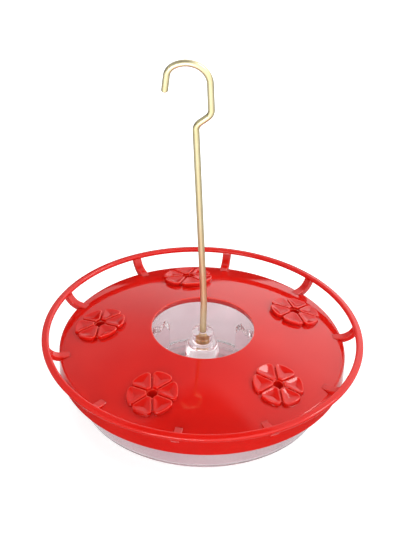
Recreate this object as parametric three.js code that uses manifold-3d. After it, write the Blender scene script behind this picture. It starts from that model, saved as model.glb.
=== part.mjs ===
// Hanging saucer feeder for hummingbirds: a clear bowl with a moat, a red cover with flower ports and a
// perch ring, and a brass rod with an offset hook.
// Millimetres, +Z up, origin at the middle of the bowl's flat underside.

import * as THREE from 'three';
import { mergeVertices } from 'three/addons/utils/BufferGeometryUtils.js';
import Module from 'manifold-3d';

const wasm = await Module();
wasm.setup();

// Driving sizes, in millimetres and degrees.

// Fits between pieces
const SEAT_GAP = 0.3; // between a piece and the one it rests on or sits in
const SKIRT_GAP = 0.6; // between the bowl's rim and the skirt around it

// Cover
const COVER_RADIUS = 89.4; // outside of the skirt
const COVER_WALL = 2.0;
const CONE_SLOPE = 15.5; // fall of the top from the opening to the edge
const EDGE_ROUND = 1.2; // rounding between the top and the skirt
const SKIRT_DROP = 12.7; // skirt below the cover's edge
const OPENING_RADIUS = 31.7;
const LIP_DROP = 4.4; // lip below the opening's edge
const LIP_WALL = 1.5;
const LIP_DRAFT = 0.9; // how much wider the lip is at its foot

// Basin
const BASIN_HEIGHT = 32.7;
const BASIN_WALL = 2.2;
const FOOT_INSET = 20.0; // from the skirt in to the edge of the flat underside
const BASIN_CORNER = 8.0; // outer rounding between underside and wall
const SOCKET_HEIGHT = 8.0; // collar on the floor that the moat sits in

// Moat
const MOAT_WALL = 2.0;
const MOAT_FLOOR_LEVEL = 16.0; // upper face of the moat's floor
const MOAT_FLOOR = 2.2;
const MOAT_LIFT = 0.4; // moat's wall above the surface that the basin stands on

// Centre hub, measured down from its top
const HUB_BELOW_OPENING = 2.0; // hub's top below the cover's opening edge
const HUB_COLLAR_RADIUS = 6.8;
const HUB_COLLAR = 3.6;
const HUB_NECK_RADIUS = 5.9;
const HUB_NECK = 4.4;
const HUB_BELL = 7.7;
const HUB_BELL_RADIUS = 10.6;
const HUB_FOOT_RADIUS = 11.0;

// Threaded insert
const INSERT_WALL = 0.75; // around the rod
const INSERT_LENGTH = 7.0;
const INSERT_SINK = 2.4; // insert's top below the hub's top
const KNURL_TEETH = 24;
const KNURL_DEPTH = 0.3;

// Hanger rod
const ROD_DIAMETER = 3.6;
const ROD_UPRIGHT = 21.0; // upright part of the rod above the hub
const ROD_LEAN = 3.75; // lean of the rod above that, towards the hook's tip
const SHANK_LENGTH = 126.7; // leaning part, up to the first corner of the offset bend
const JOG = 9.5; // sideways step at the offset bend
const JOG_RISE = 7.0; // length of that step along the rod
const HOOK_NECK = 20.3; // from the last corner of the offset bend to the hook
const HOOK_RADIUS = 14.1;
const HOOK_TURN = 116.5;
const HOOK_TIP_RADIUS = 8.5; // tighter bend towards the hook's tip
const HOOK_TIP_TURN = 54.6;
const HOOK_TAIL = 10.6;
const ROD_BEND = 6.3; // radius of the other bends
const ROD_SIDES = 10;
const ROD_STEP = 2.5;

// Spring catches in the moat
const CATCH_INSET = 7.2; // catch's middle inside the opening's edge
const CATCH_DEPTH = 8.1; // along the radius
const CATCH_WIDTH = 6.6;
const CATCH_RISE = 2.1; // catch's tip above the opening's edge
const CATCH_RIDGE = 3.1; // ridge of the tip, out from the catch's inner face
const CATCH_INNER_FALL = 3.2; // fall of the tip towards the rod
const CATCH_OUTER_FALL = 5.0; // fall of the tip towards the lip, down to the ledge
const CATCH_LEDGE = 1.9; // width of the ledge beside the tip
const CATCH_NOSE = 2.0; // height of the nose below the ledge
const CATCH_WEB = 2.2; // thin root that bends
const CATCH_WEB_HEIGHT = 4.0;

// Flower ports
const PORTS = 5;
const FIRST_PORT = 99.6; // azimuth of the port at the back
const PORT_OFFSET = 4.95; // ports outside the middle of the cover's slope
const PORT_RADIUS = 3.2;
const SPIGOT_WALL = 1.2;
const SPIGOT_DROP = 6.0; // below the cover's top
const PETALS = 6;
const PETAL_TURNS = [2.0, 3.2, -0.5, -5.0, -4.5]; // turn of each flower from the radius
const FLOWER_RADIUS = 15.0;
const PETAL_HEIGHT = 2.4;
const PETAL_CORNER = 4.0; // rounding at a petal's outer corners
const GROOVE_WIDTH = 1.4;
const GROOVE_START = 0.6; // solid ring between the hole and the grooves
const PETAL_RIM = 1.3; // flat rim around a petal's hollow
const PETAL_HOLLOW = 1.2; // depth of the hollow
const PORT_SIDES = 24;

// Perch
const PERCH_REACH = 8.6; // ring's centre line outside the skirt
const PERCH_RISE = 7.6; // ring's centre line above the cover's edge
const RING_WIDTH = 4.8;
const RING_HEIGHT = 3.7;
const RING_SIDES = 10;
const STRUTS_PER_PORT = 2;
const STRUT_WIDTH = 5.2;
const STRUT_THICKNESS = 3.6;
const STRUT_ROOT = 6.5; // level rib that leaves the cover's slope, inwards from its edge

// Facets around the large and the small turned pieces
const LARGE_FACETS = 64;
const SMALL_FACETS = 32;

// Levels and radii that follow from the driving sizes.
const rad = THREE.MathUtils.degToRad;
const slope = Math.tan(rad(CONE_SLOPE));
const coverWallUpright = COVER_WALL / Math.cos(rad(CONE_SLOPE));
const skirtInner = COVER_RADIUS - COVER_WALL;
const rimOuter = skirtInner - SKIRT_GAP;
const edgeLevel = BASIN_HEIGHT + SEAT_GAP + coverWallUpright - (COVER_RADIUS - rimOuter) * slope;
const coneTop = (r) => edgeLevel + (COVER_RADIUS - r) * slope;
const coneUnder = (r) => coneTop(r) - coverWallUpright;
const openingLevel = coneTop(OPENING_RADIUS);
const lipFootInner = OPENING_RADIUS + LIP_DRAFT;
const lipOuter = lipFootInner + LIP_WALL;
const moatInner = lipOuter + SEAT_GAP;
const moatOuter = moatInner + MOAT_WALL;
const hubTop = openingLevel - HUB_BELOW_OPENING;
const hubFoot = MOAT_FLOOR_LEVEL + SEAT_GAP;
const insertTop = hubTop - INSERT_SINK;
const insertFoot = insertTop - INSERT_LENGTH;
const insertBore = ROD_DIAMETER / 2 + SEAT_GAP;
const insertRadius = insertBore + INSERT_WALL;
const hubBore = insertRadius + SEAT_GAP;
const portCircle = (OPENING_RADIUS + COVER_RADIUS) / 2 + PORT_OFFSET;
const spigotRadius = PORT_RADIUS + SPIGOT_WALL;
const ringRadius = COVER_RADIUS + PERCH_REACH;
const ringLevel = edgeLevel + PERCH_RISE;
const portAzimuth = (index) => FIRST_PORT + (index * 360) / PORTS;

// Materials
const redPlastic = new THREE.MeshStandardMaterial({ color: 0xd61c12, roughness: 0.15, metalness: 0 });
const clearPlastic = new THREE.MeshStandardMaterial({
  color: 0xe9dde0,
  roughness: 0.1,
  metalness: 0,
  transparent: true,
  opacity: 0.35,
});
const brass = new THREE.MeshStandardMaterial({ color: 0xc9a24a, roughness: 0.25, metalness: 1 });

// A copy of a geometry with only its positions, and its shared corners joined.
function joined(geometry) {
  const bare = geometry.clone();
  bare.deleteAttribute('normal');
  bare.deleteAttribute('uv');
  return mergeVertices(bare);
}

function toSolid(geometry) {
  const bare = joined(geometry);
  const vertProperties = new Float32Array(bare.attributes.position.array);
  const triVerts = new Uint32Array(bare.index.array);
  return new wasm.Manifold(new wasm.Mesh({ numProp: 3, vertProperties, triVerts }));
}

function toGeometry(solid) {
  const mesh = solid.getMesh();
  const geometry = new THREE.BufferGeometry();
  geometry.setAttribute('position', new THREE.BufferAttribute(mesh.vertProperties, 3));
  geometry.setIndex(new THREE.BufferAttribute(mesh.triVerts, 1));
  geometry.computeVertexNormals();
  return geometry;
}

const point = (r, z) => new THREE.Vector2(r, z);

// Points on an arc in the radius and height plane, from one angle to another in degrees.
function arc(centre, radius, from, to, steps) {
  return Array.from({ length: steps + 1 }, (_, i) => {
    const angle = rad(from + ((to - from) * i) / steps);
    return point(centre.x + radius * Math.cos(angle), centre.y + radius * Math.sin(angle));
  });
}

// A profile of radius and height points turned about Z.
function turned(profile, facets) {
  const geometry = new THREE.LatheGeometry(profile, facets);
  geometry.rotateX(Math.PI / 2);
  return geometry;
}

// A closed ring whose profile does not reach the axis.
const turnedRing = (profile, facets) => turned([...profile, profile[0].clone()], facets);

// An outline in the radius and height plane, given a width across that plane.
function radialPlate(shape, width, curveSegments) {
  const geometry = new THREE.ExtrudeGeometry(shape, { depth: width, bevelEnabled: false, curveSegments });
  geometry.rotateX(Math.PI / 2);
  geometry.translate(0, width / 2, 0);
  return geometry;
}

function polygon(radius, sides) {
  const corners = Array.from({ length: sides }, (_, i) => {
    const angle = (i * 2 * Math.PI) / sides;
    return point(radius * Math.cos(angle), radius * Math.sin(angle));
  });
  return new THREE.Shape(corners);
}

function uprightCylinder(radius, low, high, sides) {
  const depth = high - low;
  const geometry = new THREE.ExtrudeGeometry(polygon(radius, sides), { depth, bevelEnabled: false });
  geometry.translate(0, 0, low);
  return geometry;
}

// Bowl: flat underside, rounded corner, straight wall to the rim, and a collar on the floor for the moat.
function basin() {
  const corner = point(COVER_RADIUS - FOOT_INSET, BASIN_CORNER);
  const toRim = point(rimOuter - corner.x, BASIN_HEIGHT - corner.y);
  const wallAngle = Math.atan2(toRim.y, toRim.x) - Math.acos(BASIN_CORNER / toRim.length());
  const wallDegrees = THREE.MathUtils.radToDeg(wallAngle);
  const socketInner = moatOuter + SEAT_GAP;
  const socketOuter = socketInner + BASIN_WALL;
  const arcSteps = 4;
  const profile = [
    point(socketInner, 0),
    ...arc(corner, BASIN_CORNER, -90, wallDegrees, arcSteps),
    point(rimOuter, BASIN_HEIGHT),
    point(rimOuter - BASIN_WALL / Math.cos(wallAngle), BASIN_HEIGHT),
    ...arc(corner, BASIN_CORNER - BASIN_WALL, wallDegrees, -90, arcSteps),
    point(socketOuter, BASIN_WALL),
    point(socketOuter, SOCKET_HEIGHT),
    point(socketInner, SOCKET_HEIGHT),
  ];
  return turnedRing(profile, LARGE_FACETS);
}

// Cup in the middle of the bowl, with its floor above the bowl's floor and a wall up to the cover.
function antMoat() {
  const top = coneUnder(moatOuter) - SEAT_GAP;
  const underside = MOAT_FLOOR_LEVEL - MOAT_FLOOR;
  const profile = [
    point(0, underside),
    point(moatInner, underside),
    point(moatInner, MOAT_LIFT),
    point(moatOuter, MOAT_LIFT),
    point(moatOuter, top),
    point(moatInner, top),
    point(moatInner, MOAT_FLOOR_LEVEL),
    point(0, MOAT_FLOOR_LEVEL),
  ];
  return turned(profile, LARGE_FACETS);
}

// Bell-shaped hub with a neck and a collar, bored from above for the threaded insert.
function centreHub() {
  const neckTop = hubTop - HUB_COLLAR;
  const bellTop = neckTop - HUB_NECK;
  const bellFoot = bellTop - HUB_BELL;
  const boreFoot = insertFoot - SEAT_GAP;
  const flare = new THREE.QuadraticBezierCurve(
    point(HUB_NECK_RADIUS, bellTop),
    point(HUB_BELL_RADIUS, bellTop),
    point(HUB_BELL_RADIUS, bellFoot),
  );
  const profile = [
    point(0, hubFoot),
    point(HUB_FOOT_RADIUS, hubFoot),
    ...flare.getPoints(5).reverse(),
    point(HUB_NECK_RADIUS, neckTop),
    point(HUB_COLLAR_RADIUS, neckTop),
    point(HUB_COLLAR_RADIUS, hubTop),
    point(hubBore, hubTop),
    point(hubBore, boreFoot),
    point(0, boreFoot),
  ];
  return turned(profile, SMALL_FACETS);
}

// Knurled sleeve around the rod's foot.
function threadedInsert() {
  const corners = Array.from({ length: KNURL_TEETH * 2 }, (_, i) => {
    const angle = (i * Math.PI) / KNURL_TEETH;
    const radius = i % 2 ? insertRadius - KNURL_DEPTH : insertRadius;
    return point(radius * Math.cos(angle), radius * Math.sin(angle));
  });
  const shape = new THREE.Shape(corners);
  shape.holes.push(polygon(insertBore, KNURL_TEETH));
  const geometry = new THREE.ExtrudeGeometry(shape, { depth: INSERT_LENGTH, bevelEnabled: false });
  geometry.translate(0, 0, insertFoot);
  return geometry;
}

// A bend of the wire in the XZ plane, from a lean through a turn. Both are in degrees, positive towards +X.
class WireBend extends THREE.Curve {
  constructor(start, lean, turn, radius) {
    super();
    Object.assign(this, { start, lean, turn, radius });
  }

  getPoint(t, target = new THREE.Vector3()) {
    const from = rad(this.lean);
    const to = rad(this.lean + this.turn * t);
    const arm = Math.sign(this.turn) * this.radius;
    target.copy(this.start);
    target.x += arm * (Math.cos(from) - Math.cos(to));
    target.z += arm * (Math.sin(to) - Math.sin(from));
    return target;
  }
}

// Middle line of a wire that starts upwards, grown by straight runs and bends.
class WirePath extends THREE.CurvePath {
  constructor(start) {
    super();
    this.end = start;
    this.lean = 0;
  }

  straight(length) {
    const ahead = new THREE.Vector3(Math.sin(rad(this.lean)), 0, Math.cos(rad(this.lean)));
    const end = this.end.clone().addScaledVector(ahead, length);
    this.add(new THREE.LineCurve3(this.end, end));
    this.end = end;
    return this;
  }

  bend(turn, radius) {
    const curve = new WireBend(this.end, this.lean, turn, radius);
    this.add(curve);
    this.end = curve.getPoint(1);
    this.lean += turn;
    return this;
  }
}

// Wire that stands upright in the insert, leans a little, steps sideways and ends in a hook.
function hangerRod() {
  const jogTurn = THREE.MathUtils.radToDeg(Math.atan2(JOG, JOG_RISE));
  const leanTrim = ROD_BEND * Math.tan(rad(ROD_LEAN / 2));
  const jogTrim = ROD_BEND * Math.tan(rad(jogTurn / 2));
  const foot = insertFoot + SEAT_GAP;
  const path = new WirePath(new THREE.Vector3(0, 0, foot))
    .straight(hubTop + ROD_UPRIGHT - foot - leanTrim)
    .bend(-ROD_LEAN, ROD_BEND)
    .straight(SHANK_LENGTH - leanTrim - jogTrim)
    .bend(jogTurn, ROD_BEND)
    .straight(Math.hypot(JOG, JOG_RISE) - 2 * jogTrim)
    .bend(-jogTurn, ROD_BEND)
    .straight(HOOK_NECK - jogTrim)
    .bend(-HOOK_TURN, HOOK_RADIUS)
    .bend(-HOOK_TIP_TURN, HOOK_TIP_RADIUS)
    .straight(HOOK_TAIL);
  const steps = Math.round(path.getLength() / ROD_STEP);
  return new THREE.ExtrudeGeometry(polygon(ROD_DIAMETER / 2, ROD_SIDES), { steps, extrudePath: path });
}

// Upright tab on a thin root, with a roof-shaped tip, a ledge and a nose that reaches for the cover's lip.
function springCatch(azimuth) {
  const middle = OPENING_RADIUS - CATCH_INSET;
  const inner = middle - CATCH_DEPTH / 2;
  const outer = middle + CATCH_DEPTH / 2;
  const foot = MOAT_FLOOR_LEVEL + SEAT_GAP;
  const tip = openingLevel + CATCH_RISE;
  const ledge = tip - CATCH_OUTER_FALL;
  const webTop = foot + CATCH_WEB_HEIGHT;
  const shape = new THREE.Shape([
    point(middle - CATCH_WEB / 2, foot),
    point(middle + CATCH_WEB / 2, foot),
    point(middle + CATCH_WEB / 2, webTop),
    point(outer, webTop),
    point(outer, ledge - CATCH_NOSE),
    point(OPENING_RADIUS - SEAT_GAP, ledge - CATCH_NOSE / 2),
    point(outer, ledge),
    point(outer - CATCH_LEDGE, ledge),
    point(inner + CATCH_RIDGE, tip),
    point(inner, tip - CATCH_INNER_FALL),
    point(inner, webTop),
    point(middle - CATCH_WEB / 2, webTop),
  ]);
  const geometry = radialPlate(shape, CATCH_WIDTH);
  geometry.rotateZ(rad(azimuth));
  return geometry;
}

// Red lid: cone with a lipped opening and a skirt, pierced for the flower ports.
function cover() {
  const lipFoot = openingLevel - LIP_DROP;
  const skirtFoot = edgeLevel - SKIRT_DROP;
  const edgeStart = COVER_RADIUS - EDGE_ROUND;
  const edge = new THREE.QuadraticBezierCurve(
    point(edgeStart, coneTop(edgeStart)),
    point(COVER_RADIUS, edgeLevel),
    point(COVER_RADIUS, edgeLevel - EDGE_ROUND),
  );
  const profile = [
    point(lipFootInner, lipFoot),
    point(lipOuter, lipFoot),
    point(lipOuter, coneUnder(lipOuter)),
    point(skirtInner, coneUnder(skirtInner)),
    point(skirtInner, skirtFoot),
    point(COVER_RADIUS, skirtFoot),
    ...edge.getPoints(3).reverse(),
    point(OPENING_RADIUS, openingLevel),
  ];
  const shell = toSolid(turnedRing(profile, LARGE_FACETS));
  const holes = portPlaces().map((place) => {
    const hole = uprightCylinder(spigotRadius + SEAT_GAP, skirtFoot, openingLevel, PORT_SIDES);
    return toSolid(hole.applyMatrix4(place));
  });
  return toGeometry(holes.reduce((solid, hole) => solid.subtract(hole), shell));
}

// Where each port stands on the cover, as a turn about Z and a step outwards.
function portPlaces() {
  return Array.from({ length: PORTS }, (_, index) => {
    const turn = new THREE.Matrix4().makeRotationZ(rad(portAzimuth(index)));
    return turn.multiply(new THREE.Matrix4().makeTranslation(portCircle, 0, 0));
  });
}

// Outline of a flower: petals with rounded outer corners, parted by grooves of even width.
function flowerOutline() {
  const half = Math.PI / PETALS;
  const grooveFoot = PORT_RADIUS + GROOVE_START;
  const outerTurn = half - Math.asin(GROOVE_WIDTH / 2 / FLOWER_RADIUS);
  const cornerTurn = outerTurn - PETAL_CORNER / FLOWER_RADIUS;
  const shape = new THREE.Shape();
  const polar = (r, angle) => [r * Math.cos(angle), r * Math.sin(angle)];
  // A point on a petal's side, at a distance out along the groove beside it.
  const side = (along, groove, towards) => {
    const [x, y] = polar(along, groove);
    const [nx, ny] = polar((towards * GROOVE_WIDTH) / 2, groove + Math.PI / 2);
    return [x + nx, y + ny];
  };
  for (let petal = 0; petal < PETALS; petal += 1) {
    const axis = petal * 2 * half;
    const start = side(grooveFoot, axis - half, 1);
    if (petal === 0) {
      shape.moveTo(...start);
    } else {
      shape.lineTo(...start);
    }
    shape.lineTo(...side(FLOWER_RADIUS - PETAL_CORNER, axis - half, 1));
    shape.quadraticCurveTo(
      ...polar(FLOWER_RADIUS, axis - outerTurn),
      ...polar(FLOWER_RADIUS, axis - cornerTurn),
    );
    shape.absarc(0, 0, FLOWER_RADIUS, axis - cornerTurn, axis + cornerTurn, false);
    shape.quadraticCurveTo(
      ...polar(FLOWER_RADIUS, axis + outerTurn),
      ...side(FLOWER_RADIUS - PETAL_CORNER, axis + half, -1),
    );
    shape.lineTo(...side(grooveFoot, axis + half, -1));
  }
  shape.closePath();
  return shape;
}

// Three-sided hollow in the top of a petal that points along +X, as the solid to cut away.
function petalHollow() {
  const above = 1; // reach of the cutter above the petal's top
  const half = Math.PI / PETALS;
  const inner = (GROOVE_WIDTH / 2 + 2 * PETAL_RIM) / Math.sin(half);
  const outer = FLOWER_RADIUS - 1.5 * PETAL_RIM;
  const width = outer * Math.tan(half) - GROOVE_WIDTH / 2 / Math.cos(half) - 2 * PETAL_RIM;
  const bottom = new THREE.Vector3((inner + 2 * outer) / 3, 0, PETAL_HEIGHT - PETAL_HOLLOW);
  const grow = (PETAL_HOLLOW + above) / PETAL_HOLLOW;
  const corners = [
    new THREE.Vector3(inner, 0, PETAL_HEIGHT),
    new THREE.Vector3(outer, -width, PETAL_HEIGHT),
    new THREE.Vector3(outer, width, PETAL_HEIGHT),
  ].map((corner) => bottom.clone().addScaledVector(corner.clone().sub(bottom), grow));
  const positions = [bottom, ...corners].flatMap((corner) => corner.toArray());
  const geometry = new THREE.BufferGeometry();
  geometry.setAttribute('position', new THREE.Float32BufferAttribute(positions, 3));
  geometry.setIndex([1, 2, 3, 0, 2, 1, 0, 3, 2, 0, 1, 3]);
  return geometry;
}

// Flower seated on the slope of the cover, with upright walls and hole and a spigot through the cover.
function flowerPort(place, petalTurn) {
  const sunk = 1.5; // depth that is trimmed to the curve of the cover
  const spigotTop = PETAL_HEIGHT / 2;
  const lean = new THREE.Matrix4().makeShear(0, -slope, 0, 0, 0, 0);
  const toCover = place.clone().multiply(new THREE.Matrix4().makeTranslation(0, 0, coneTop(portCircle)));
  const petals = new THREE.ExtrudeGeometry(flowerOutline(), {
    depth: PETAL_HEIGHT + sunk,
    bevelEnabled: false,
    curveSegments: 3,
  });
  petals.translate(0, 0, -sunk);
  let flower = toSolid(petals.rotateZ(rad(petalTurn)).applyMatrix4(lean));
  for (let petal = 0; petal < PETALS; petal += 1) {
    const hollow = petalHollow().rotateZ(rad(petalTurn + (petal * 360) / PETALS));
    flower = flower.subtract(toSolid(hollow.applyMatrix4(lean)));
  }
  const seat = turned(
    [
      point(0, 0),
      point(COVER_RADIUS, 0),
      point(COVER_RADIUS, edgeLevel + SEAT_GAP),
      point(0, coneTop(0) + SEAT_GAP),
    ],
    LARGE_FACETS,
  );
  const seated = toSolid(toGeometry(flower).applyMatrix4(toCover)).subtract(toSolid(seat));
  const spigot = uprightCylinder(spigotRadius, -SPIGOT_DROP, spigotTop, PORT_SIDES);
  const hole = uprightCylinder(PORT_RADIUS, -2 * SPIGOT_DROP, 2 * PETAL_HEIGHT, PORT_SIDES);
  const piped = seated.add(toSolid(spigot.applyMatrix4(toCover)));
  return toGeometry(piped.subtract(toSolid(hole.applyMatrix4(toCover))));
}

// Perch: an oval ring on struts that leave the cover's slope level, beside its skirt, and sweep out and up.
function perchRing() {
  const section = Array.from({ length: RING_SIDES }, (_, i) => {
    const angle = (i * 2 * Math.PI) / RING_SIDES;
    return point(
      ringRadius + (RING_WIDTH / 2) * Math.cos(angle),
      ringLevel + (RING_HEIGHT / 2) * Math.sin(angle),
    );
  });
  const root = COVER_RADIUS - STRUT_ROOT;
  const strutTop = coneTop(root) + SEAT_GAP;
  const strutFoot = strutTop - STRUT_THICKNESS;
  const heel = RING_WIDTH / 4;
  const besideSkirt = COVER_RADIUS + SEAT_GAP;
  const shape = new THREE.Shape();
  shape.moveTo(root, strutTop);
  shape.lineTo(besideSkirt, edgeLevel + SEAT_GAP);
  shape.lineTo(besideSkirt, strutFoot);
  shape.quadraticCurveTo(ringRadius + heel, strutFoot, ringRadius + heel, ringLevel);
  shape.lineTo(ringRadius - heel, ringLevel);
  shape.quadraticCurveTo(ringRadius - heel, strutTop, COVER_RADIUS, strutTop);
  shape.closePath();
  const struts = PORTS * STRUTS_PER_PORT;
  const step = 360 / struts;
  let perch = toSolid(turnedRing(section, LARGE_FACETS));
  for (let index = 0; index < struts; index += 1) {
    const strut = radialPlate(shape, STRUT_WIDTH, 4);
    strut.rotateZ(rad(FIRST_PORT + step / 2 + index * step));
    perch = perch.add(toSolid(strut));
  }
  return toGeometry(perch);
}

function piece(name, geometry, material) {
  const mesh = new THREE.Mesh(geometry, material);
  mesh.name = name;
  return mesh;
}

const feeder = new THREE.Group();
feeder.add(
  piece('basin', basin(), clearPlastic),
  piece('ant_moat', antMoat(), clearPlastic),
  piece('centre_hub', centreHub(), clearPlastic),
  piece('threaded_insert', threadedInsert(), brass),
  piece('hanger_rod', hangerRod(), brass),
  piece('left_catch', springCatch(180), clearPlastic),
  piece('right_catch', springCatch(0), clearPlastic),
  piece('cover', cover(), redPlastic),
  piece('perch_ring', perchRing(), redPlastic),
);
portPlaces().forEach((place, index) => {
  const petalTurn = PETAL_TURNS[index % PETAL_TURNS.length];
  feeder.add(piece(`flower_port_${index + 1}`, flowerPort(place, petalTurn), redPlastic));
});

export default feeder;
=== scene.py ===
# Hummingbird feeder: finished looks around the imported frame, in the frame's own axes.
# Pieces are modelled in millimetres and scaled to metres when they are finished.
import math

import bmesh
import bpy
from mathutils import Matrix, Vector


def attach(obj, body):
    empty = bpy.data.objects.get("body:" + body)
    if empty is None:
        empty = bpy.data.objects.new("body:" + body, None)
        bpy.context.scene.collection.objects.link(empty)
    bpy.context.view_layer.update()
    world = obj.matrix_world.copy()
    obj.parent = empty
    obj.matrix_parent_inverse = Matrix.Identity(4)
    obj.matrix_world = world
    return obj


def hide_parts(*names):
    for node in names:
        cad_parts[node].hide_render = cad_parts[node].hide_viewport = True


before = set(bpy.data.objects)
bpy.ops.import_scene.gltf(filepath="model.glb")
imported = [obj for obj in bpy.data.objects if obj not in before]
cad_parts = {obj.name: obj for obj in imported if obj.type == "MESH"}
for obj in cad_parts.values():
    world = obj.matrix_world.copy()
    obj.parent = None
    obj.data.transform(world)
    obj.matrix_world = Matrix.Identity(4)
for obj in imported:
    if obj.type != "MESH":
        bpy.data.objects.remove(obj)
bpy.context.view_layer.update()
scene = bpy.context.scene

MM = 0.001
TURN = 2 * math.pi
UP = Vector((0, 0, 1))
ALONG_Y = Vector((0, 1, 0))

# Sizes in millimetres and degrees, from the part's source. Cover, flowers, ring and wire differ from it by up
# to 0.7 mm, and the bowl's lower corner by up to 2 mm.
COVER_RADIUS = 89.4
COVER_WALL = 2.0
EDGE_LEVEL = 34.354
CONE_ANGLE = math.radians(15.5)
CONE_SLOPE = math.tan(CONE_ANGLE)
WALL_UPRIGHT = COVER_WALL / math.cos(CONE_ANGLE)
SWELL = 0.7
SKIRT_FOOT = 21.654
OPENING_RADIUS = 31.7
LIP_FOOT = 45.956
LIP_FOOT_INNER = 32.6
LIP_OUTER = 34.1
BASIN_HEIGHT = 32.7
BASIN_WALL = 2.2
RIM_OUTER = 86.8
FOOT_RADIUS = 69.4
SOCKET_INNER = 36.7
SOCKET_HEIGHT = 8.0
MOAT_INNER = 34.4
MOAT_OUTER = 36.4
MOAT_TOP = 46.68
MOAT_FLOOR = 16.0
MOAT_UNDERSIDE = 13.8
MOAT_FOOT = 0.4
HUB_TOP = 48.356
HUB_FOOT = 16.3
INSERT_FOOT = 38.956
INSERT_TOP = 45.956
INSERT_RADIUS = 2.4
ROD_RADIUS = 1.8
SHANK_RADIUS = 2.0
PORTS = 5
FIRST_PORT = 99.6
PORT_CIRCLE = 65.5
PORT_RADIUS = 3.2
SPIGOT_RADIUS = 4.65
SPIGOT_DROP = 6.0
PETALS = 6
PETAL_TURNS = (2.0, 3.2, -0.5, -5.0, -4.5)
FLOWER_RADIUS = 15.6
PETAL_HEIGHT = 2.7
GROOVE_WIDTH = 1.1
RING_RADIUS = 98.0
RING_LEVEL = 42.1
RING_WIDTH = 4.7
RING_HEIGHT = 3.0
STRUTS = 10
STRUT_WIDTH = 5.2
STRUT_THICKNESS = 3.6
STRUT_TOP = 36.456
SEAT_GAP = 0.3

# Points that are closer than this are one, in millimetres.
TINY = 0.001

# Steps around the large turned pieces, around the small ones, around a port, and on a rounded corner.
LARGE_STEPS = 240
SMALL_STEPS = 96
PORT_STEPS = 48
CORNER_STEPS = 4

# Nearly all of a noise texture's values lie in this range.
NOISE_RANGE = {"From Min": 0.3, "From Max": 0.7}


def cone_top(radius):
    """Height of the cover's sloping top at a radius: a cone that swells a little half way down."""
    inwards = COVER_RADIUS - radius
    width = COVER_RADIUS - OPENING_RADIUS
    return EDGE_LEVEL + inwards * CONE_SLOPE + 4 * SWELL * inwards * (width - inwards) / width**2


def cone_under(radius):
    return EDGE_LEVEL + (COVER_RADIUS - radius) * CONE_SLOPE - WALL_UPRIGHT


def linear(colour):
    """An sRGB hex colour as the linear values that a shader takes."""
    parts = [int(colour[i : i + 2], 16) / 255 for i in (1, 3, 5)]
    return [*(p / 12.92 if p <= 0.04045 else ((p + 0.055) / 1.055) ** 2.4 for p in parts), 1.0]


def add(tree, kind, inputs=None, stops=(), **settings):
    """A node with its settings, its colour stops, and its inputs as values or as other nodes' outputs."""
    node = tree.nodes.new(kind)
    for name, value in settings.items():
        setattr(node, name, value)
    for name, value in (inputs or {}).items():
        if isinstance(value, bpy.types.NodeSocket):
            tree.links.new(value, node.inputs[name])
        else:
            node.inputs[name].default_value = value
    for index, (position, colour) in enumerate(stops):
        elements = node.color_ramp.elements
        element = elements[index] if index < len(elements) else elements.new(position)
        element.position, element.color = position, linear(colour)
    return node


def new_material(name):
    material = bpy.data.materials.new(name)
    material.use_nodes = True
    material.node_tree.nodes.clear()
    return material, material.node_tree


def moulded_abs():
    """Red ABS from a polished mould: deep even pigment under a clear gloss, with a faint orange peel.
    Light soaks into it, so the underside of the cover glows. Thin edges get a painted highlight: a lighter
    orange red mixed into the colour.
    """
    material, tree = new_material("red_abs_polished_moulding")
    place = add(tree, "ShaderNodeTexCoord").outputs["Object"]
    # Pigment drifts over about 45 mm, gloss over about 14 mm, and the orange peel has 3 mm waves.
    drift = add(tree, "ShaderNodeTexNoise", {"Vector": place, "Scale": 1 / (45 * MM), "Detail": 2.0})
    colour = add(
        tree,
        "ShaderNodeValToRGB",
        {"Fac": drift.outputs["Fac"]},
        stops=zip(NOISE_RANGE.values(), ("#d2160e", "#da1c12")),
    )
    # Painted highlight: where the plastic is thin, on its edges, a lighter orange red is mixed into the
    # colour.
    thickness = add(
        tree, "ShaderNodeAmbientOcclusion", {"Distance": 0.9 * MM}, inside=True, only_local=True, samples=8
    )
    painted_rim_highlight = add(
        tree,
        "ShaderNodeMapRange",
        {"Value": thickness.outputs["AO"], "From Min": 0.9, "From Max": 0.5, "To Min": 0.0, "To Max": 0.9},
    )
    # A Mix node of colours has its factor and colours at inputs 0, 6 and 7, and its result at output 2.
    lit = add(
        tree,
        "ShaderNodeMix",
        {0: painted_rim_highlight.outputs["Result"], 6: colour.outputs["Color"], 7: linear("#ff6450")},
        data_type="RGBA",
    )
    gloss = add(tree, "ShaderNodeTexNoise", {"Vector": place, "Scale": 1 / (14 * MM), "Detail": 3.0})
    roughness = add(
        tree,
        "ShaderNodeMapRange",
        {"Value": gloss.outputs["Fac"], **NOISE_RANGE, "To Min": 0.03, "To Max": 0.06},
    )
    peel = add(tree, "ShaderNodeTexNoise", {"Vector": place, "Scale": 1 / (3 * MM), "Detail": 1.0})
    bump = add(
        tree,
        "ShaderNodeBump",
        {"Height": peel.outputs["Fac"], "Strength": 0.15, "Distance": 0.02 * MM},
    )
    shader = add(
        tree,
        "ShaderNodeBsdfPrincipled",
        {
            "Base Color": lit.outputs[2],
            "Roughness": roughness.outputs["Result"],
            "IOR": 1.53,
            "Subsurface Weight": 0.7,
            "Subsurface Scale": 5 * MM,
            "Subsurface Radius": (1.0, 0.15, 0.1),
            "Normal": bump.outputs["Normal"],
        },
    )
    add(tree, "ShaderNodeOutputMaterial", {"Surface": shader.outputs["BSDF"]})
    return material


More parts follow.
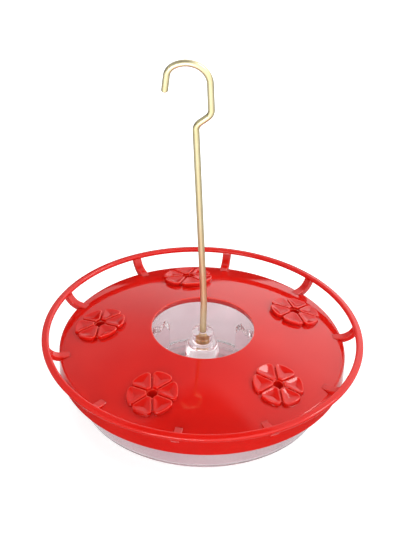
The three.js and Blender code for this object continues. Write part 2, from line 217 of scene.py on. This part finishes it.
def clear_san(name, tints, least, most):
    """Clear SAN from a polished mould: glassy, with a slight rose tint and soft waves where the melt flowed.
    Its haze, from the least to the most, blurs what shows through it. On the bowl a stronger rose tint is
    partly painted light: it stands in for the red light that the cover throws into it.
    """
    material, tree = new_material(name)
    place = add(tree, "ShaderNodeTexCoord").outputs["Object"]
    # The tint drifts over about 30 mm, haze over about 9 mm, and the flow waves are about 12 mm long.
    drift = add(tree, "ShaderNodeTexNoise", {"Vector": place, "Scale": 1 / (30 * MM), "Detail": 1.0})
    colour = add(
        tree,
        "ShaderNodeValToRGB",
        {"Fac": drift.outputs["Fac"]},
        stops=zip(NOISE_RANGE.values(), tints),
    )
    haze = add(tree, "ShaderNodeTexNoise", {"Vector": place, "Scale": 1 / (9 * MM), "Detail": 2.0})
    roughness = add(
        tree,
        "ShaderNodeMapRange",
        {"Value": haze.outputs["Fac"], **NOISE_RANGE, "To Min": least, "To Max": most},
    )
    flow = add(tree, "ShaderNodeTexNoise", {"Vector": place, "Scale": 1 / (12 * MM), "Detail": 1.0})
    bump = add(
        tree,
        "ShaderNodeBump",
        {"Height": flow.outputs["Fac"], "Strength": 0.2, "Distance": 0.05 * MM},
    )
    shader = add(
        tree,
        "ShaderNodeBsdfPrincipled",
        {
            "Base Color": colour.outputs["Color"],
            "Roughness": roughness.outputs["Result"],
            "IOR": 1.57,
            "Transmission Weight": 1.0,
            "Normal": bump.outputs["Normal"],
        },
    )
    add(tree, "ShaderNodeOutputMaterial", {"Surface": shader.outputs["BSDF"]})
    return material


def bright_brass(name, colours, edge, line_sizes, least, most):
    """Bright brass: warm yellow metal whose tool left fine lines, given as their size along X, Y and Z.
    The lines blur what it mirrors, from the least to the most, and it mirrors the edge tint at a low angle.
    """
    material, tree = new_material(name)
    place = add(tree, "ShaderNodeTexCoord").outputs["Object"]
    lines_place = add(
        tree,
        "ShaderNodeMapping",
        {"Vector": place, "Scale": [1 / (size * MM) for size in line_sizes]},
    )
    lines = add(tree, "ShaderNodeTexNoise", {"Vector": lines_place.outputs["Vector"], "Scale": 1.0})
    # Handling leaves the colour a little uneven over about 16 mm.
    tarnish = add(tree, "ShaderNodeTexNoise", {"Vector": place, "Scale": 1 / (16 * MM), "Detail": 3.0})
    colour = add(
        tree,
        "ShaderNodeValToRGB",
        {"Fac": tarnish.outputs["Fac"]},
        stops=zip(NOISE_RANGE.values(), colours),
    )
    roughness = add(
        tree,
        "ShaderNodeMapRange",
        {"Value": lines.outputs["Fac"], **NOISE_RANGE, "To Min": least, "To Max": most},
    )
    bump = add(
        tree,
        "ShaderNodeBump",
        {"Height": lines.outputs["Fac"], "Strength": 0.3, "Distance": 0.02 * MM},
    )
    shader = add(
        tree,
        "ShaderNodeBsdfPrincipled",
        {
            "Base Color": colour.outputs["Color"],
            "Metallic": 1.0,
            "Specular Tint": linear(edge),
            "Roughness": roughness.outputs["Result"],
            "Normal": bump.outputs["Normal"],
        },
    )
    add(tree, "ShaderNodeOutputMaterial", {"Surface": shader.outputs["BSDF"]})
    return material


def turned(corners, steps):
    """An outline of (radius, height, rounding) corners turned about Z, closed where it meets the axis."""
    bm = bmesh.new()
    points = [bm.verts.new((radius, 0, height)) for radius, height, _ in corners]
    bm.faces.new(points)
    for vert, (_, _, rounding) in zip(points, corners):
        if rounding:
            round_corners(bm, [vert], rounding, CORNER_STEPS)
    bmesh.ops.delete(bm, geom=bm.faces[:], context="FACES_ONLY")
    on_axis = [edge for edge in bm.edges if max(vert.co.x for vert in edge.verts) < TINY]
    bmesh.ops.delete(bm, geom=on_axis, context="EDGES")
    outline = bm.verts[:] + bm.edges[:]
    bmesh.ops.spin(bm, geom=outline, axis=UP, cent=(0, 0, 0), angle=TURN, steps=steps, use_merge=True)
    bmesh.ops.remove_doubles(bm, verts=bm.verts, dist=TINY)
    bmesh.ops.recalc_face_normals(bm, faces=bm.faces)
    return bm


def rounded(bm, geom, size, steps, affect):
    """Rounds edges or corners, starting at a distance to each side of them."""
    bmesh.ops.bevel(
        bm,
        geom=geom,
        offset=size,
        offset_type="OFFSET",
        segments=steps,
        profile=0.5,
        material=-1,
        affect=affect,
        clamp_overlap=True,
    )


def round_corners(bm, verts, size, steps):
    """Rounds corners of a flat outline."""
    rounded(bm, verts, size, steps, "VERTICES")


def round_edges(bm, edges, size, steps):
    rounded(bm, edges, size, steps, "EDGES")


def pulled(bm, face, along):
    """Extrudes a face along a vector, and gives the new end. The face that it grew from is kept."""
    grown = bmesh.ops.extrude_face_region(bm, geom=[face], use_keep_orig=True)["geom"]
    moved = [item for item in grown if isinstance(item, bmesh.types.BMVert)]
    bmesh.ops.translate(bm, verts=moved, vec=along)
    return next(item for item in grown if isinstance(item, bmesh.types.BMFace))


def repeated(bm, count):
    """Copies the whole of a mesh around Z, evenly."""
    everything = bm.verts[:] + bm.edges[:] + bm.faces[:]
    angle = TURN * (count - 1) / count
    bmesh.ops.spin(
        bm, geom=everything, axis=UP, cent=(0, 0, 0), angle=angle, steps=count - 1, use_duplicate=True
    )


def carved(bm, tool, operation):
    """The mesh with a tool's shape cut from it or joined to it."""
    pair = []
    for part in (bm, tool):
        mesh = bpy.data.meshes.new("carving")
        part.to_mesh(mesh)
        part.free()
        pair.append(bpy.data.objects.new("carving", mesh))
        scene.collection.objects.link(pair[-1])
    carving = pair[0].modifiers.new("carve", "BOOLEAN")
    carving.object, carving.operation, carving.solver = pair[1], operation, "EXACT"
    result = bmesh.new()
    result.from_object(pair[0], bpy.context.evaluated_depsgraph_get())
    for obj in pair:
        mesh = obj.data
        bpy.data.objects.remove(obj)
        bpy.data.meshes.remove(mesh)
    return result


def finished(name, bm, material, body, nodes, crease=35):
    """A piece in its place: scaled to metres, shaded, on its body and in place of its CAD nodes.
    Edges stay sharp from the crease angle on, in degrees.
    """
    bmesh.ops.scale(bm, vec=(MM, MM, MM), verts=bm.verts)
    mesh = bpy.data.meshes.new(name)
    bm.to_mesh(mesh)
    bm.free()
    mesh.materials.append(material)
    mesh.shade_smooth()
    mesh.set_sharp_from_angle(angle=math.radians(crease))
    obj = bpy.data.objects.new(name, mesh)
    scene.collection.objects.link(obj)
    shading = obj.modifiers.new("even_shading", "WEIGHTED_NORMAL")
    shading.keep_sharp = True
    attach(obj, body)
    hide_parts(*nodes)
    return obj


def clear_bowl():
    """Bowl with a flat underside, a round corner, a straight wall and a collar for the moat."""
    outer_foot, inner_foot = FOOT_RADIUS + 6.6, FOOT_RADIUS + 5.07
    rim_inner = RIM_OUTER - BASIN_WALL - 0.1
    socket_outer = SOCKET_INNER + BASIN_WALL
    corners = (
        (SOCKET_INNER, 0, 0.3),
        (outer_foot, 0, 3.0),
        (RIM_OUTER, BASIN_HEIGHT, 0.7),
        (rim_inner, BASIN_HEIGHT, 0.7),
        (inner_foot, BASIN_WALL, 2.4),
        (socket_outer, BASIN_WALL, 0.6),
        (socket_outer, SOCKET_HEIGHT, 0.5),
        (SOCKET_INNER, SOCKET_HEIGHT, 0.5),
    )
    return turned(corners, LARGE_STEPS)


def moat_cup():
    """Cup with its floor set high, around the hub and the catches."""
    corners = (
        (0, MOAT_UNDERSIDE, 0),
        (MOAT_INNER, MOAT_UNDERSIDE, 0.8),
        (MOAT_INNER, MOAT_FOOT, 0.5),
        (MOAT_OUTER, MOAT_FOOT, 0.5),
        (MOAT_OUTER, MOAT_TOP, 0.5),
        (MOAT_INNER, MOAT_TOP, 0.6),
        (MOAT_INNER, MOAT_FLOOR, 1.5),
        (0, MOAT_FLOOR, 0),
    )
    return turned(corners, LARGE_STEPS)


def bell_hub():
    """Hub with a foot, a bell-shaped shoulder with a crisp rim, a neck and a collar.
    It is moulded around the insert.
    """
    mouth, grip = 3.05, ROD_RADIUS + 0.2
    neck, collar, bell, foot = 5.9, 6.8, 10.6, 11.0
    collar_height, neck_height, bell_height = 3.6, 4.4, 7.7
    neck_top = HUB_TOP - collar_height
    bell_top = neck_top - neck_height
    rim = bell_top - bell_height
    grip_foot = INSERT_FOOT - SEAT_GAP
    corners = (
        (0, HUB_FOOT, 0),
        (foot, HUB_FOOT, 0.4),
        (bell - 0.4, rim - 0.6, 0.2),
        (bell + 0.15, rim - 0.3, 0.2),
        (bell, rim + 0.5, 0.2),
        (bell - 0.9, bell_top - 0.6, 2.6),
        (neck, bell_top, 1.0),
        (neck, neck_top, 0.5),
        (collar, neck_top, 0.6),
        (collar, HUB_TOP, 0.7),
        (mouth, HUB_TOP, 0.4),
        (mouth, INSERT_TOP, 0),
        (grip, INSERT_TOP, 0),
        (grip, grip_foot, 0),
        (0, grip_foot, 0),
    )
    return turned(corners, SMALL_STEPS)


def knurled_insert():
    """Sleeve with two knurled bands and a plain groove between them."""
    teeth, depth, groove, bore = 18, 0.35, 2.1, ROD_RADIUS + 0.05
    half_groove = 0.6
    middle = (INSERT_FOOT + INSERT_TOP) / 2
    bm = bmesh.new()
    bmesh.ops.create_circle(
        bm, segments=teeth * 2, radius=INSERT_RADIUS, matrix=Matrix.Translation((0, 0, INSERT_FOOT))
    )
    for index, vert in enumerate(bm.verts[:]):
        if index % 2:
            vert.co.xy *= 1 - depth / INSERT_RADIUS
    foot = bm.edges[:]
    shrink = groove / INSERT_RADIUS
    climb = (
        (middle - half_groove, 1),
        (middle - half_groove, shrink),
        (middle + half_groove, 1),
        (middle + half_groove, 1 / shrink),
        (INSERT_TOP, 1),
    )
    loop = foot
    for height, scale in climb:
        grown = bmesh.ops.extrude_edge_only(bm, edges=loop)["geom"]
        loop = [item for item in grown if isinstance(item, bmesh.types.BMEdge)]
        for vert in (item for item in grown if isinstance(item, bmesh.types.BMVert)):
            vert.co = (vert.co.x * scale, vert.co.y * scale, height)
    hole = []
    for height in (INSERT_FOOT, INSERT_TOP):
        made = bmesh.ops.create_circle(
            bm, segments=teeth * 2, radius=bore, matrix=Matrix.Translation((0, 0, height))
        )
        hole.append(list({edge for vert in made["verts"] for edge in vert.link_edges}))
    for pair in ((foot, hole[0]), (hole[0], hole[1]), (loop, hole[1])):
        bmesh.ops.bridge_loops(bm, edges=pair[0] + pair[1])
    bmesh.ops.recalc_face_normals(bm, faces=bm.faces)
    return bm


def brass_hanger():
    """Wire bent along a flat path: each move is a straight run and then a bend to the left or right.
    Its end is turned down to fit the insert.
    """
    foot, shoulder, shank = INSERT_FOOT + SEAT_GAP, INSERT_TOP + SEAT_GAP, INSERT_TOP + 0.5
    # The stem leans a little, steps aside, and ends in a hook that is tighter towards its tip.
    upright, stem, throat, tip = 21.0, 126.7, 20.3, 10.6
    sway, lean_angle = 60.0, 3.75
    aside, along, bend = 9.5, 7.0, 6.3
    hook, hook_angle, curl, curl_angle = 14.1, 116.5, 8.5, 54.6
    jog = math.degrees(math.atan2(aside, along))
    jog_trim = bend * math.tan(math.radians(jog / 2))
    lean_trim = sway * math.tan(math.radians(lean_angle / 2))
    # Length of the run, then radius, angle and steps of the bend.
    moves = (
        (HUB_TOP + upright - shank - lean_trim, sway, -lean_angle, 4),
        (stem - lean_trim - jog_trim, bend, jog, 14),
        (math.hypot(aside, along) - 2 * jog_trim, bend, -jog, 14),
        (throat - jog_trim, hook, -hook_angle, 40),
        (0, curl, -curl_angle, 20),
        (tip, 0, 0, 0),
    )
    bm = bmesh.new()
    bmesh.ops.create_circle(
        bm, cap_ends=True, segments=28, radius=ROD_RADIUS, matrix=Matrix.Translation(UP * foot)
    )
    end = pulled(bm, bm.faces[:][0], UP * (shoulder - foot))
    end = pulled(bm, end, UP * (shank - shoulder))
    widening = SHANK_RADIUS / ROD_RADIUS
    bmesh.ops.scale(bm, verts=end.verts[:], vec=(widening, widening, 1))
    place, lean = UP * shank, 0.0
    for length, radius, angle, steps in moves:
        ahead = Vector((math.sin(lean), 0, math.cos(lean)))
        if length:
            end = pulled(bm, end, ahead * length)
            place = place + ahead * length
        if angle:
            turn = math.radians(angle)
            arm = Vector((math.cos(lean), 0, -math.sin(lean))) * math.copysign(radius, turn)
            grown = bmesh.ops.spin(
                bm,
                geom=[end, *end.verts, *end.edges],
                axis=ALONG_Y,
                cent=place + arm,
                angle=turn,
                steps=steps,
            )["geom_last"]
            end = next(item for item in grown if isinstance(item, bmesh.types.BMFace))
            place = end.calc_center_median()
            lean += turn
    # The faces that the wire grew from are left inside it, where more than two faces meet at each edge.
    inside = [face for face in bm.faces if all(len(edge.link_faces) > 2 for edge in face.edges)]
    bmesh.ops.delete(bm, geom=inside, context="FACES_ONLY")
    round_edges(bm, end.edges[:], 0.7, 3)
    bmesh.ops.recalc_face_normals(bm, faces=bm.faces)
    return bm


def spring_catch(side):
    """Clear tab on a thin root, with a roof-shaped tip, a ledge and a nose."""
    width, inner, outer = 6.6, 20.45, 28.55
    web_inner, web_outer, web_foot, web_top = 23.4, 25.6, 16.3, 20.3
    nose, nose_foot, nose_middle, ledge = 31.4, 45.456, 46.456, 47.456
    ridge, ridge_level, eaves = 23.55, 52.456, 49.256
    outline = (
        (web_inner, web_foot),
        (web_outer, web_foot),
        (web_outer, web_top),
        (outer, web_top),
        (outer, nose_foot),
        (nose, nose_middle),
        (outer, ledge),
        (outer - 1.9, ledge),
        (ridge, ridge_level),
        (inner, eaves),
        (inner, web_top),
        (web_inner, web_top),
    )
    bm = bmesh.new()
    face = bm.faces.new([bm.verts.new((side * radius, -width / 2, height)) for radius, height in outline])
    pulled(bm, face, ALONG_Y * width)
    bmesh.ops.recalc_face_normals(bm, faces=bm.faces)
    round_edges(bm, bm.edges[:], 0.35, 3)
    return bm


def red_cover():
    """Cone with a lipped opening and a skirt, pierced under each flower."""
    skirt_inner, hole = COVER_RADIUS - COVER_WALL, SPIGOT_RADIUS + 0.05
    corners = (
        (LIP_FOOT_INNER, LIP_FOOT, 0.5),
        (LIP_OUTER, LIP_FOOT, 0.5),
        (LIP_OUTER, cone_under(LIP_OUTER), 0),
        (skirt_inner, cone_under(skirt_inner), 0.8),
        (skirt_inner, SKIRT_FOOT, 0.6),
        (COVER_RADIUS, SKIRT_FOOT, 0.6),
        (COVER_RADIUS, EDGE_LEVEL, 1.3),
        *((radius, cone_top(radius), 0) for radius in range(86, 34, -4)),
        (OPENING_RADIUS, cone_top(OPENING_RADIUS), 0.7),
    )
    holes = bmesh.new()
    bmesh.ops.create_cone(
        holes,
        cap_ends=True,
        segments=PORT_STEPS,
        radius1=hole,
        radius2=hole,
        depth=20,
        matrix=Matrix.Translation((PORT_CIRCLE, 0, cone_top(PORT_CIRCLE))),
    )
    repeated(holes, PORTS)
    turn_about_z(holes, FIRST_PORT)
    return carved(turned(corners, LARGE_STEPS), holes, "DIFFERENCE")


def turn_about_z(bm, degrees):
    turn = Matrix.Rotation(math.radians(degrees), 3, "Z")
    bmesh.ops.rotate(bm, verts=bm.verts, cent=(0, 0, 0), matrix=turn)


def petal_outline(bm, height, shrink, inner, corner, steps):
    """Flat face in the shape of a petal along +X, smaller by a width all round.
    Its inner end is given, and the rounding of its outer corners in a number of steps.
    """
    half = math.pi / PETALS
    beside = GROOVE_WIDTH / 2 + shrink
    reach = FLOWER_RADIUS - shrink
    # The middle of the rounding is that far from the petal's side and from its outer end.
    middle = math.sqrt((reach - corner) ** 2 - (beside + corner) ** 2)
    middle = Matrix.Rotation(half, 2) @ Vector((middle, -beside - corner))
    outer = math.atan2(middle.y, middle.x)
    turns = [outer + (half + math.pi / 2 - outer) * step / steps for step in range(steps + 1)]
    side = [(inner, (inner * math.sin(half) - beside) / math.cos(half))]
    side += [tuple(middle + corner * Vector((math.cos(turn), math.sin(turn)))) for turn in reversed(turns)]
    end_steps = 8
    end = [outer * (1 - 2 * step / end_steps) for step in range(1, end_steps)]
    end = [(reach * math.cos(turn), reach * math.sin(turn)) for turn in end]
    outline = side + end + [(x, -y) for x, y in reversed(side)]
    face = bm.faces.new([bm.verts.new((x, y, height)) for x, y in outline])
    round_corners(bm, [face.verts[0], face.verts[-1]], 0.5, 6)
    level = (face for face in bm.faces if abs(face.calc_center_median().z - height) < TINY)
    return max(level, key=lambda face: len(face.verts))


def flower_petal():
    """Petal with a rounded rim and a hollow of three flat sides."""
    sunk, rim, hollow = 1.2, 0.9, 1.4
    petal_inner, petal_corner, dish_inner, dish_corner = PORT_RADIUS + 0.4, 2.6, PORT_RADIUS + 1.6, 1.2
    bm = bmesh.new()
    base = petal_outline(bm, -sunk, 0, petal_inner, petal_corner, 12)
    top = pulled(bm, base, UP * (sunk + PETAL_HEIGHT))
    round_edges(bm, top.edges[:], 0.5, 12)
    top = max(bm.faces, key=lambda face: face.calc_center_median().z)
    rim_loop = top.edges[:]
    bmesh.ops.delete(bm, geom=[top], context="FACES_ONLY")
    dish = petal_outline(bm, PETAL_HEIGHT, rim, dish_inner, dish_corner, 2)
    dish_loop = dish.edges[:]
    bmesh.ops.bridge_loops(bm, edges=rim_loop + dish_loop)
    bmesh.ops.recalc_face_normals(bm, faces=bm.faces)
    bmesh.ops.poke(bm, faces=[dish], offset=-hollow, center_mode="MEAN_WEIGHTED")
    round_edges(bm, dish_loop, 0.3, 3)
    return bm


def flower(petal_turn):
    """Six petals around a feeding hole, with the spigot, laid on the slope of the cover at azimuth 0."""
    bm = flower_petal()
    repeated(bm, PETALS)
    turn_about_z(bm, petal_turn)
    # A disc under the petals is the floor of their grooves, and carries the spigot. The spigot's hole narrows
    # downwards.
    floor, disc, disc_foot = PETAL_HEIGHT - 1.7, 12.6, -0.6
    spigot = (
        (PORT_RADIUS - 1.0, -SPIGOT_DROP, 0.3),
        (SPIGOT_RADIUS, -SPIGOT_DROP, 0.3),
        (SPIGOT_RADIUS, disc_foot, 0),
        (disc, disc_foot, 0),
        (disc, floor, 0.3),
        (PORT_RADIUS, floor, 0),
    )
    bm = carved(bm, turned(spigot, PORT_STEPS), "UNION")
    bmesh.ops.translate(bm, verts=bm.verts, vec=(PORT_CIRCLE, 0, 0))
    for vert in bm.verts:
        upper = vert.co.z > -SPIGOT_DROP / 2
        vert.co.z += cone_top(vert.co.xy.length if upper else PORT_CIRCLE)
    return bm


def perch():
    """Ring with round edges and a top that leans outwards, on struts.
    The struts leave the cover level and sweep up into the ring.
    """
    square = ((-1, -1), (1, -1), (1, 1), (-1, 1))
    lean, ring_rounding = Matrix.Rotation(math.radians(-20), 2), 1.3
    section = [lean @ Vector((x * RING_WIDTH / 2, z * RING_HEIGHT / 2)) for x, z in square]
    ring = turned([(RING_RADIUS + x, RING_LEVEL + z, ring_rounding) for x, z in section], LARGE_STEPS)
    root, sweep = 80.0, math.radians(76)
    middle = STRUT_TOP - STRUT_THICKNESS / 2
    radius = (RING_LEVEL - middle) / (1 - math.cos(sweep))
    bend_start = RING_RADIUS - radius * math.sin(sweep)
    struts = bmesh.new()
    corners = [
        struts.verts.new((root, y * STRUT_WIDTH / 2, middle + z * STRUT_THICKNESS / 2)) for y, z in square
    ]
    struts.faces.new(corners)
    round_corners(struts, corners, 0.6, 3)
    end = pulled(struts, struts.faces[:][0], (bend_start - root, 0, 0))
    bmesh.ops.spin(
        struts,
        geom=[end, *end.verts, *end.edges],
        axis=-ALONG_Y,
        cent=(bend_start, 0, middle + radius),
        angle=sweep,
        steps=12,
    )
    bmesh.ops.recalc_face_normals(struts, faces=struts.faces)
    repeated(struts, STRUTS)
    turn_about_z(struts, FIRST_PORT + 180 / STRUTS)
    return carved(ring, struts, "UNION")


def studio_floor():
    """Pale floor that shows white, and keeps a faint shadow of the object."""
    bm = bmesh.new()
    just_below = Matrix.Translation(UP * -0.2 * MM)
    bmesh.ops.create_circle(bm, cap_ends=True, segments=64, radius=4, matrix=just_below)
    mesh = bpy.data.meshes.new("studio_floor")
    bm.to_mesh(mesh)
    bm.free()
    material, tree = new_material("white_paper_sweep")
    rays = add(tree, "ShaderNodeLightPath").outputs
    seen = add(
        tree,
        "ShaderNodeMath",
        {0: rays["Is Camera Ray"], 1: rays["Is Transmission Ray"]},
        operation="MAXIMUM",
    )
    shown = add(tree, "ShaderNodeMath", {0: seen.outputs[0], 1: 0.7}, operation="MULTIPLY")
    # Painted light and shade for reflections: glossy rays see a glow on the paper under the feeder,
    # in front of it and along its back half, and find it dim around the feeder.
    place = add(tree, "ShaderNodeTexCoord").outputs["Object"]
    depth = add(tree, "ShaderNodeSeparateXYZ", {"Vector": place}).outputs["Y"]
    reach = add(tree, "ShaderNodeVectorMath", {0: place}, operation="LENGTH")
    under = add(
        tree,
        "ShaderNodeMapRange",
        {"Value": reach.outputs["Value"], "From Min": 0.092, "From Max": 0.08, "To Min": 0.0, "To Max": 0.7},
    )
    along = add(tree, "ShaderNodeMapRange", {"Value": depth, "From Min": -0.2, "From Max": 0.2})
    bright = add(
        tree,
        "ShaderNodeValToRGB",
        {"Fac": along.outputs["Result"]},
        stops=(
            (0.025, "#ffffff"),
            (0.15, "#000000"),
            (0.475, "#000000"),
            (0.55, "#e0e0e0"),
            (0.675, "#e0e0e0"),
            (0.75, "#000000"),
        ),
    )
    lit = add(
        tree, "ShaderNodeMath", {0: under.outputs["Result"], 1: bright.outputs["Color"]}, operation="MAXIMUM"
    )
    mirrored = add(
        tree, "ShaderNodeMath", {0: rays["Is Glossy Ray"], 1: lit.outputs[0]}, operation="MULTIPLY"
    )
    glow = add(tree, "ShaderNodeMath", {0: shown.outputs[0], 1: mirrored.outputs[0]}, operation="MAXIMUM")
    # Painted shade: glossy rays see the paper a darker grey.
    shade = add(
        tree,
        "ShaderNodeMix",
        {0: rays["Is Glossy Ray"], 6: linear("#dcdcdc"), 7: linear("#7c7c7c")},
        data_type="RGBA",
    )
    paper = add(tree, "ShaderNodeBsdfDiffuse", {"Color": shade.outputs[2]})
    light = add(tree, "ShaderNodeEmission", {"Color": linear("#ffffff"), "Strength": glow.outputs[0]})
    both = add(tree, "ShaderNodeAddShader", {0: paper.outputs[0], 1: light.outputs[0]})
    add(tree, "ShaderNodeOutputMaterial", {"Surface": both.outputs[0]})
    mesh.materials.append(material)
    floor = bpy.data.objects.new("studio_floor", mesh)
    scene.collection.objects.link(floor)


def studio_light():
    """White walls under a dim ceiling, a white background for the camera, and soft lamps.
    The lamps stand in front, beside and above, and face the middle of the feeder.
    """
    feeder = Vector((0, 0, 0.04))
    world = bpy.data.worlds.new("studio")
    scene.world = world
    world.use_nodes = True
    tree = world.node_tree
    tree.nodes.clear()
    toward = add(tree, "ShaderNodeTexCoord").outputs["Generated"]
    axes = add(tree, "ShaderNodeSeparateXYZ", {"Vector": toward}).outputs
    # The stops are sines of the elevation: white to 40 degrees, dim overhead.
    walls = add(
        tree,
        "ShaderNodeValToRGB",
        {"Fac": axes["Z"]},
        stops=(
            (0.60, "#ffffff"),
            (0.80, "#d2d2d2"),
            (0.915, "#c0c0c0"),
            (0.935, "#646464"),
            (1.0, "#505050"),
        ),
    )
    # The back wall has a dark foot 4 degrees high, which climbs towards the left.
    leaning = add(tree, "ShaderNodeMath", {0: axes["X"], 1: 0.2, 2: axes["Z"]}, operation="MULTIPLY_ADD")
    behind = add(
        tree,
        "ShaderNodeMath",
        {0: axes["Y"], 1: -0.1, 2: leaning.outputs[0]},
        operation="MULTIPLY_ADD",
    )
    foot = add(
        tree,
        "ShaderNodeMapRange",
        {"Value": behind.outputs[0], "From Min": -0.03, "From Max": -0.015, "To Min": 0.03, "To Max": 1.0},
    )
    # The right-hand wall is the brighter one.
    side = add(
        tree,
        "ShaderNodeMapRange",
        {"Value": axes["X"], "From Min": -0.35, "From Max": 0.35, "To Min": 0.5, "To Max": 1.4},
    )
    level = add(tree, "ShaderNodeMath", {0: side.outputs[0], 1: foot.outputs[0]}, operation="MULTIPLY")
    rays = add(tree, "ShaderNodeLightPath").outputs
    inside = add(tree, "ShaderNodeMath", {0: rays["Transmission Depth"], 1: 0.5}, operation="GREATER_THAN")
    seen = add(tree, "ShaderNodeMath", {0: rays["Is Camera Ray"], 1: inside.outputs[0]}, operation="MAXIMUM")
    room = add(tree, "ShaderNodeBackground", {"Color": walls.outputs["Color"], "Strength": level.outputs[0]})
    white = add(tree, "ShaderNodeBackground", {"Color": linear("#ffffff"), "Strength": 1.0})
    mixed = add(tree, "ShaderNodeMixShader", {0: seen.outputs[0], 1: room.outputs[0], 2: white.outputs[0]})
    add(tree, "ShaderNodeOutputWorld", {"Surface": mixed.outputs[0]})
    # Name, place in metres, width, height and power of each lamp, and whether it shows in reflections.
    for name, place, width, height, power, mirrored in (
        ("front_softbox", (-0.4, -1.4, 0.26), 1.0, 0.5, 9.0, True),
        ("side_softbox", (0.83, 0.22, 0.93), 0.36, 0.36, 2.8, True),
        ("top_fill", (-0.5, 0.6, 1.2), 0.9, 0.9, 6.0, False),
    ):
        lamp = bpy.data.lights.new(name, "AREA")
        lamp.shape, lamp.size, lamp.size_y, lamp.energy = "RECTANGLE", width, height, power
        softbox = bpy.data.objects.new(name, lamp)
        softbox.location, softbox.visible_glossy = place, mirrored
        softbox.rotation_euler = (feeder - softbox.location).to_track_quat("-Z", "Y").to_euler()
        scene.collection.objects.link(softbox)


def photo_camera():
    """The photograph's view: from the front, 35 degrees above the horizon, with a slight roll."""
    elevation, yaw, roll = (math.radians(angle) for angle in (34.74, -0.18, 1.902))
    level = math.cos(elevation)
    ahead = Vector((math.sin(yaw) * level, math.cos(yaw) * level, -math.sin(elevation)))
    right = ahead.cross(UP).normalized()
    above = right.cross(ahead)
    across = right * math.cos(roll) + above * math.sin(roll)
    upright = above * math.cos(roll) - right * math.sin(roll)
    data = bpy.data.cameras.new("photo_camera")
    data.lens, data.sensor_width = 137.77, 36.0
    camera = bpy.data.objects.new("photo_camera", data)
    axes = Matrix((across, upright, -ahead)).transposed()
    camera.matrix_world = Matrix.Translation((0.0001, -1.02076, 0.80403)) @ axes.to_4x4()
    scene.collection.objects.link(camera)
    scene.camera = camera


scene.view_settings.view_transform = "Standard"
scene.cycles.use_denoising = True
scene.cycles.max_bounces = 24
scene.cycles.glossy_bounces = 16
scene.cycles.transmission_bounces = 20
photo_camera()
studio_light()
studio_floor()

red = moulded_abs()
# The bowl's stronger rose tint is partly painted light, standing in for the red light from the cover.
bowl_clear_with_painted_red_light = clear_san("clear_san_bowl_moulding", ("#f3dde3", "#f9e9ec"), 0.12, 0.18)
pale = clear_san("clear_san_moat_moulding", ("#fcf4f6", "#fffafb"), 0.12, 0.2)
glassy = clear_san("clear_san_polished_moulding", ("#f6e8eb", "#fbf2f4"), 0.03, 0.06)
drawn = bright_brass("brass_drawn_wire", ("#f2e4b0", "#f8eec4"), "#8a6a20", (0.3, 0.3, 25), 0.34, 0.44)
# The sleeve's darker, pinker brass is painted shade, standing in for the shadow it sits in inside the hub.
lathed_brass_painted_shade = bright_brass("brass_lathed_sleeve", ("#cfa468", "#dfbd86"), "#ffffff", (4, 4, 0.2), 0.16, 0.26)

finished("clear_bowl", clear_bowl(), bowl_clear_with_painted_red_light, "basin", ["basin"])
finished("moat_cup", moat_cup(), pale, "basin", ["ant_moat"])
finished("bell_hub", bell_hub(), glassy, "basin", ["centre_hub"])
finished("knurled_insert", knurled_insert(), lathed_brass_painted_shade, "basin", ["threaded_insert"])
finished("brass_hanger", brass_hanger(), drawn, "hanger", ["hanger_rod"])
finished("left_spring_catch", spring_catch(-1), glassy, "left_catch", ["left_catch"])
finished("right_spring_catch", spring_catch(1), glassy, "right_catch", ["right_catch"])
finished("red_cover", red_cover(), red, "cover", ["cover"])
finished("perch", perch(), red, "cover", ["perch_ring"])
for port, petal_turn in enumerate(PETAL_TURNS):
    bloom = flower(petal_turn)
    turn_about_z(bloom, FIRST_PORT + port * 360 / PORTS)
    number = port + 1
    finished(f"flower_{number}", bloom, red, "cover", [f"flower_port_{number}"], crease=9)
